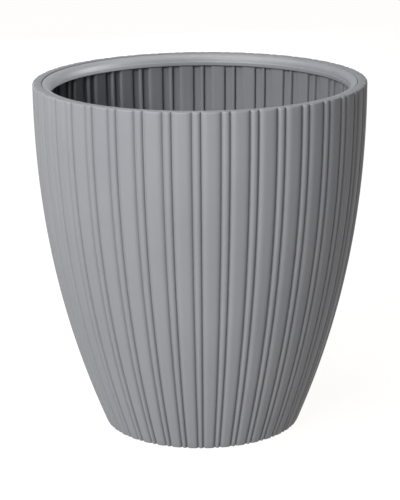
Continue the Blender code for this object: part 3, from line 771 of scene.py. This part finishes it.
GAUGE_OUTER = 0.0080
GAUGE_INNER = 0.0065
GAUGE_LOW = 0.0140
GAUGE_TOP = 0.3720
FLOAT_RADIUS = 0.0059
FLOAT_LOW = 0.0203
FLOAT_HIGH = 0.0585
ROD_RADIUS = 0.0012
ROD_TOP = 0.3080
TIP_RADIUS = 0.0040
TIP_TOP = 0.3160
MARKS = (("min", 0.3130), ("max", 0.3560))
MARK_TALL = 0.0020
MARK_OUTER = GAUGE_OUTER + 0.0011
TIE_LOW = 0.2900
TIE_HIGH = 0.2970
TIE_FIT = 0.0004
TIE_CUT = (0.27, 0.32)


def gauge_foot():
    """The plug in the gauge tube's lower end: the water's inlet, and the float's lower stop."""
    top = FLOAT_LOW - GAP
    section = [(0.0025, GAUGE_LOW - 0.0035), (0.0025, top), (GAUGE_INNER - 0.0003, top),
               (GAUGE_INNER - 0.0003, GAUGE_LOW - GAP), (GAUGE_OUTER, GAUGE_LOW - GAP),
               (GAUGE_OUTER, GAUGE_LOW - 0.0035)]
    return soft_ring("gauge_inlet", section, 48, GAUGE, 0.0004)


def gauge_dome():
    """The clear cap on the gauge tube, with a domed top and a sleeve."""
    base = GAUGE_TOP + GAP
    inner, outer = GAUGE_OUTER + TUBE_FIT, GAUGE_OUTER + 0.0018
    section = [(0.0, base + 0.0085), (0.0040, base + 0.0075), (GAUGE_INNER, base + 0.0035),
               (GAUGE_INNER, base), (inner, base), (inner, base - 0.0100), (outer, base - 0.0100),
               (outer, base - 0.0084), (outer - 0.0004, base - 0.0080), (outer - 0.0004, base + 0.0030),
               (outer - 0.0010, base + 0.0052),
               (0.0060, base + 0.0090), (0.0, base + 0.0105)]
    return soft_turned("gauge_dome", section, 56, GAUGE, 0.0012, 5)


def gauge_float():
    """The foam float, with two shallow waists and the rod's socket in its top."""
    bore = ROD_RADIUS + 0.0003
    section = [(0.0, FLOAT_HIGH - 0.0103), (bore, FLOAT_HIGH - 0.0103), (bore, FLOAT_HIGH),
               (FLOAT_RADIUS - 0.0004, FLOAT_HIGH), (FLOAT_RADIUS, FLOAT_HIGH - 0.0020)]
    for z in (FLOAT_HIGH - 0.0130, FLOAT_LOW + 0.0130):
        section += [(FLOAT_RADIUS, z + 0.0014), (FLOAT_RADIUS - 0.0008, z), (FLOAT_RADIUS, z - 0.0014)]
    section += [(FLOAT_RADIUS, FLOAT_LOW + 0.0010), (FLOAT_RADIUS - 0.0004, FLOAT_LOW), (0.0, FLOAT_LOW)]
    return soft_turned("float_foam", section, 48, GAUGE, 0.0008)


def gauge_stem():
    """The rod that stands on the float and carries the tip."""
    low = FLOAT_HIGH - 0.0100
    section = [(0.0, ROD_TOP), (ROD_RADIUS, ROD_TOP), (ROD_RADIUS, low), (0.0, low)]
    return soft_turned("float_stem", section, 24, GAUGE, 0.0003)


def gauge_tip():
    """The red tip, with one groove round it and a socket for the rod."""
    low = ROD_TOP - 0.0070
    bore = ROD_RADIUS + 0.0003
    section = [(0.0, TIP_TOP), (TIP_RADIUS * 0.6, TIP_TOP - 0.0006), (TIP_RADIUS, TIP_TOP - 0.0024),
               (TIP_RADIUS, low + 0.0022), (TIP_RADIUS - 0.0005, low + 0.0017), (TIP_RADIUS, low + 0.0012),
               (TIP_RADIUS, low), (bore, low), (bore, ROD_TOP + GAP), (0.0, ROD_TOP + GAP)]
    return soft_turned("float_tip", section, 40, GAUGE, 0.0004)


def tie():
    """A moulded clip round both tubes, joined by a waisted link."""
    low, high = TIE_LOW, TIE_HIGH
    clip = soft_turned("tie_clip", [(0.0, high), (0.0160, high), (0.0160, low), (0.0, low)], 64, FILL, 0.0008)
    boss = soft_turned("tie_boss", [(0.0, high - 0.0005), (0.0118, high - 0.0005), (0.0118, low + 0.0005),
                                    (0.0, low + 0.0005)], 56, GAUGE, 0.0008)
    left, right = FILL[0] + 0.0110, GAUGE[0] - 0.0070
    middle = (left + right) / 2
    plan = [(left, -0.1030), (middle - 0.002, -0.1012), (middle + 0.002, -0.1012), (right, -0.1030),
            (right, -0.0912), (middle + 0.002, -0.0930), (middle - 0.002, -0.0930), (left, -0.0912)]
    link = slab("tie_link", [(x, y, low + 0.001) for x, y in plan], (0.0, 0.0, high - low - 0.002), 0.0006)
    combine(clip, "UNION", boss, link)
    return combine(clip, "DIFFERENCE", cylinder("tie_hole_a", FILL_OUTER + TIE_FIT, *TIE_CUT, FILL, 56),
                   cylinder("tie_hole_b", GAUGE_OUTER + TIE_FIT, *TIE_CUT, GAUGE, 48))


def bung():
    """The rubber bung: a plug, a sealing flange and a knob to pull it by."""
    flange = SHELL_FLOOR_Z + GAP
    stem = BUNG_HOLE - 0.0004
    section = [(0.0, 0.0280), (0.0060, 0.0278), (0.0085, 0.0262), (0.0085, 0.0236), (0.0066, 0.0220),
               (0.0044, 0.0208), (0.0044, 0.0140), (0.0060, 0.0122), (0.0130, flange + 0.0026),
               (0.0130, flange), (stem, flange), (stem, 0.0046), (stem - 0.0005, 0.0042),
               (stem - 0.0005, 0.0034), (stem, 0.0030), (stem - 0.0006, 0.0012), (0.0, 0.0012)]
    return soft_turned("bung_rubber", section, 56, rounding=0.0010)


# ---------------------------------------------------------------- lift handles

HANDLE_X = 0.1600
HANDLE_Z = 0.3740
HANDLE_DROP = 0.0580
HANDLE_HALF = 0.0400
HANDLE_WIRE = 0.0035
HANDLE_CORNER = 0.012
EYE_RADIUS = 0.0055
EYE_LENGTH = 0.0060
HANDLE_PIN_RADIUS = 0.0020
HANDLE_PIN_HOLE = 0.0023
LUG_Y = 0.0475
LUG_THICKNESS = 0.0060
LUG_OUTER_X = 0.1765
LUG_HALF_TALL = 0.0080
LUG_NOSE = (0.0065, 0.0078)


def handle_lug(side, end):
    """A moulded lug on the liner's wall, with a round nose about the handle's pin."""
    name = "lug_%s_%s" % ("left" if side < 0 else "right", "front" if end < 0 else "back")
    low = end * LUG_Y - LUG_THICKNESS / 2
    section = [(side * LUG_OUTER_X, low, HANDLE_Z - LUG_HALF_TALL)]
    for k in range(13):
        turn = -math.pi / 2 - math.pi * k / 12
        section.append((side * (HANDLE_X + LUG_NOSE[0] * math.cos(turn)), low,
                        HANDLE_Z + LUG_NOSE[1] * math.sin(turn)))
    section.append((side * LUG_OUTER_X, low, HANDLE_Z + LUG_HALF_TALL))
    return slab(name, section, (0.0, LUG_THICKNESS, 0.0), 0.0007)


def bail(name, side):
    """The round handle: a bent bar with an eye at each end."""
    curve = bpy.data.curves.new(name, "CURVE")
    curve.dimensions = "3D"
    curve.bevel_depth = HANDLE_WIRE
    curve.bevel_resolution = 6
    curve.use_fill_caps = True
    path = [(-HANDLE_HALF, -0.001)]
    for i in range(13):
        turn = math.pi / 2 * i / 12
        path.append((-HANDLE_HALF + HANDLE_CORNER * (1 - math.cos(turn)),
                     -HANDLE_DROP + HANDLE_CORNER * (1 - math.sin(turn))))
    path += [(-y, z) for y, z in reversed(path)]
    spline = curve.splines.new("POLY")
    spline.points.add(len(path) - 1)
    for point, (y, z) in zip(spline.points, path):
        point.co = (0.0, y, z, 1.0)
    bar = curve_mesh(name, curve, Matrix.Translation((side * HANDLE_X, 0.0, HANDLE_Z)))
    half = EYE_LENGTH / 2
    eyes = []
    for end in (-1, 1):
        section = [(0.0, half), (EYE_RADIUS, half), (EYE_RADIUS, -half), (0.0, -half)]
        eye = soft_turned("eye", section, 40, rounding=0.0006)
        eyes.append(laid(eye, "Y", (side * HANDLE_X, end * HANDLE_HALF, HANDLE_Z)))
    combine(bar, "UNION", *eyes)
    bore = laid(cylinder("eye_bore", HANDLE_PIN_HOLE, -0.06, 0.06, steps=32), "Y",
                (side * HANDLE_X, 0.0, HANDLE_Z))
    return combine(bar, "DIFFERENCE", bore)


def assemble():
    """Makes every piece, on its body, in place of its CAD node."""
    piece(pot_shell(), "pot", "pot_grey", "outer_shell")
    # The liner's wall wears the darker grey: painted shade for the inside of the pot.
    piece(liner_wall(), "liner", "liner_grey", "inner_liner", look="liner_wall")
    piece(liner_collar(), "liner", "liner_grey")
    piece(plate(), "liner", "inner_black", "separator_plate")
    for index, degrees in enumerate(FOOT_ANGLES, 1):
        piece(foot(index, degrees), "liner", "inner_black", "wick_foot_%d" % index)
    piece(fill_pipe(), "liner", "inner_black", "fill_tube")
    piece(grommet("fill_seal", FILL, FILL_OUTER + TUBE_FIT, *FILL_SEAL), "liner", "rubber_black",
          "fill_grommet")
    piece(grommet("gauge_seal", GAUGE, GAUGE_OUTER + TUBE_FIT, *GAUGE_SEAL), "liner", "rubber_black",
          "gauge_grommet")
    piece(funnel(), "liner", "lid_grey", "fill_funnel")
    piece(lid(), "lid", "lid_grey", "fill_lid")
    pin = round_pin("lid_hinge_pin", PIN_HALF, PIN_RADIUS, "X", (FILL[0], PIN_Y, PIN_Z))
    piece(pin, "liner", "pin_steel", "lid_pin")
    piece(pipe("gauge_pipe", GAUGE_OUTER, GAUGE_INNER, GAUGE_LOW, GAUGE_TOP, 48, GAUGE, 0.0003), "liner",
          "gauge_clear", "gauge_tube")
    piece(gauge_foot(), "liner", "inner_black", "gauge_foot")
    piece(gauge_dome(), "liner", "gauge_clear", "gauge_cap")
    for name, low in MARKS:
        mark = pipe("gauge_mark_" + name, MARK_OUTER, GAUGE_OUTER + TUBE_FIT, low, low + MARK_TALL, 48, GAUGE,
                    0.0003)
        piece(mark, "liner", "marker_red", "gauge_ring_" + name)
    piece(gauge_float(), "float", "float_white", "gauge_float")
    piece(gauge_stem(), "float", "float_white", "gauge_rod")
    piece(gauge_tip(), "float", "marker_red", "gauge_tip")
    piece(tie(), "liner", "inner_black", "tube_tie")
    piece(bung(), "bung", "rubber_black", "drain_bung")
    reach = LUG_Y + LUG_THICKNESS / 2
    for side, tag in ((-1, "left"), (1, "right")):
        for end in (-1, 1):
            # The lugs inside the pot wear the same darker grey: painted shade.
            piece(handle_lug(side, end), "liner", "liner_grey", look="liner_wall")
        piece(bail("bail_" + tag, side), "handle_" + tag, "inner_black", "lift_handle_" + tag)
        pin = round_pin("bail_pin_" + tag, reach + 0.0022, HANDLE_PIN_RADIUS, "Y",
                        (side * HANDLE_X, 0.0, HANDLE_Z), head=HANDLE_PIN_RADIUS * 1.7, head_at=reach + GAP)
        piece(pin, "liner", "pin_steel", "handle_pin_" + tag)


assemble()


# ---------------------------------------------------------------- stage, light, camera

FLOOR_GLOW = 0.96
FLOOR_HALF = 40.0
WORLD_TOWARD = (-0.75, -0.35, 0.56)
BACKDROP_LIGHT = 0.66
WORLD_DARK = 0.01
WORLD_LIGHT = 0.15
CAMERA_AT = Vector((0.0, -2.1694, 0.8194))
CAMERA_AIM = Vector((-0.00138, 0.0, 0.2112))
CAMERA_ROLL = -0.0086
CAMERA_LENS = 133.3
CAMERA_FAR = 150.0
COOL_WHITE = (0.955, 0.975, 1.0)
BACK_WHITE = (0.97, 0.985, 1.0)
PLAIN_WHITE = (1.0, 1.0, 1.0)

# name, place, aim, size, power, colour, and the piece that it lights where it lights only one
LIGHTS = (
    ("key", (-1.50, -2.36, 1.90), (0.0, 0.0, 0.22), (2.2, 1.8), 206.0, COOL_WHITE, None),
    ("front", (-1.20, -2.72, 0.26), (0.0, 0.0, 0.14), (1.6, 0.6), 52.0, COOL_WHITE, None),
    ("back", (-0.6, 2.90, 0.12), (0.0, 0.0, 0.20), (1.6, 0.4), 22.0, BACK_WHITE, None),
    ("top", (-0.55, 0.0, 2.1), (0.0, 0.0, 0.38), (1.3, 1.3), 44.0, PLAIN_WHITE, None),
    ("lip", (1.95, 0.15, 0.85), (0.0, 0.0, 0.41), (0.9, 0.6), 78.0, PLAIN_WHITE, "liner_collar"),
)


def stage_floor():
    """A wide pale floor with a glow of its own, so that it shows no horizon and only a faint shadow."""
    mesh = bpy.data.meshes.new("floor")
    shape = bmesh.new()
    bmesh.ops.create_grid(shape, x_segments=8, y_segments=8, size=FLOOR_HALF)
    shape.to_mesh(mesh)
    shape.free()
    floor = bpy.data.objects.new("floor", mesh)
    bpy.context.scene.collection.objects.link(floor)
    mat = bpy.data.materials.new("floor_pale")
    mat.use_nodes = True
    shader = mat.node_tree.nodes["Principled BSDF"]
    shader.inputs["Base Color"].default_value = (0.06, 0.06, 0.06, 1.0)
    shader.inputs["Roughness"].default_value = 0.9
    shader.inputs["Specular IOR Level"].default_value = 0.1
    shader.inputs["Emission Color"].default_value = (1.0, 0.99, 0.975, 1.0)
    shader.inputs["Emission Strength"].default_value = FLOOR_GLOW
    floor.data.materials.append(mat)


def area_light(name, place, aim, size, power, color, only):
    """A soft rectangular light. Where only names a piece, it lights just that piece."""
    data = bpy.data.lights.new(name, "AREA")
    data.shape = "RECTANGLE"
    data.size, data.size_y = size
    data.energy = power
    data.color = color
    light = bpy.data.objects.new(name, data)
    bpy.context.scene.collection.objects.link(light)
    light.location = place
    light.rotation_euler = (Vector(aim) - Vector(place)).to_track_quat("-Z", "Y").to_euler()
    if only:
        lit = bpy.data.collections.new(name + "_lights")
        lit.objects.link(bpy.data.objects[only])
        light.light_linking.receiver_collection = lit


def studio_world():
    """A soft room, lighter towards the upper left and dark on the right."""
    world = bpy.data.worlds.new("studio")
    bpy.context.scene.world = world
    world.use_nodes = True
    tree = world.node_tree
    back = tree.nodes["Background"]
    place = node(tree, "ShaderNodeTexCoord", (-900, 0))
    toward = node(tree, "ShaderNodeVectorMath", (-700, 0), operation="DOT_PRODUCT")
    toward.inputs[1].default_value = WORLD_TOWARD
    tree.links.new(place.outputs["Generated"], toward.inputs[0])
    shade = node(tree, "ShaderNodeMapRange", (-500, 0))
    shade.interpolation_type = "SMOOTHSTEP"
    shade.inputs["From Min"].default_value = -0.7
    shade.inputs["From Max"].default_value = 0.9
    shade.inputs["To Min"].default_value = WORLD_DARK
    shade.inputs["To Max"].default_value = WORLD_LIGHT
    tree.links.new(toward.outputs["Value"], shade.inputs["Value"])
    split = node(tree, "ShaderNodeSeparateXYZ", (-700, -300))
    tree.links.new(place.outputs["Generated"], split.inputs["Vector"])
    behind = node(tree, "ShaderNodeMapRange", (-500, -250))
    behind.inputs["From Min"].default_value = 0.50
    behind.inputs["From Max"].default_value = 0.90
    behind.inputs["To Max"].default_value = BACKDROP_LIGHT
    tree.links.new(split.outputs["Y"], behind.inputs["Value"])
    low = node(tree, "ShaderNodeMapRange", (-500, -520))
    low.inputs["From Min"].default_value = 0.75
    low.inputs["From Max"].default_value = 0.25
    tree.links.new(split.outputs["Z"], low.inputs["Value"])
    backdrop = node(tree, "ShaderNodeMath", (-300, -300), operation="MULTIPLY")
    tree.links.new(behind.outputs["Result"], backdrop.inputs[0])
    tree.links.new(low.outputs["Result"], backdrop.inputs[1])
    total = node(tree, "ShaderNodeMath", (-150, -100), operation="ADD")
    tree.links.new(shade.outputs["Result"], total.inputs[0])
    tree.links.new(backdrop.outputs[0], total.inputs[1])
    tree.links.new(total.outputs[0], back.inputs["Strength"])
    back.inputs["Color"].default_value = (0.94, 0.97, 1.0, 1.0)


def set_camera():
    """The camera, at the photograph's angle, with its slight roll."""
    data = bpy.data.cameras.new("camera")
    data.lens = CAMERA_LENS
    data.sensor_width = 36.0
    data.clip_end = CAMERA_FAR
    camera = bpy.data.objects.new("camera", data)
    bpy.context.scene.collection.objects.link(camera)
    ahead = (CAMERA_AIM - CAMERA_AT).normalized()
    right = ahead.cross(Vector((0, 0, 1))).normalized()
    up = right.cross(ahead)
    c, s = math.cos(CAMERA_ROLL), math.sin(CAMERA_ROLL)
    turned_right = right * c + up * s
    turned_up = up * c - right * s
    grid = Matrix((turned_right, turned_up, -ahead)).transposed().to_4x4()
    camera.matrix_world = Matrix.Translation(CAMERA_AT) @ grid
    bpy.context.scene.camera = camera


stage_floor()
studio_world()
for light in LIGHTS:
    area_light(*light)
set_camera()
bpy.context.scene.view_settings.view_transform = "Standard"
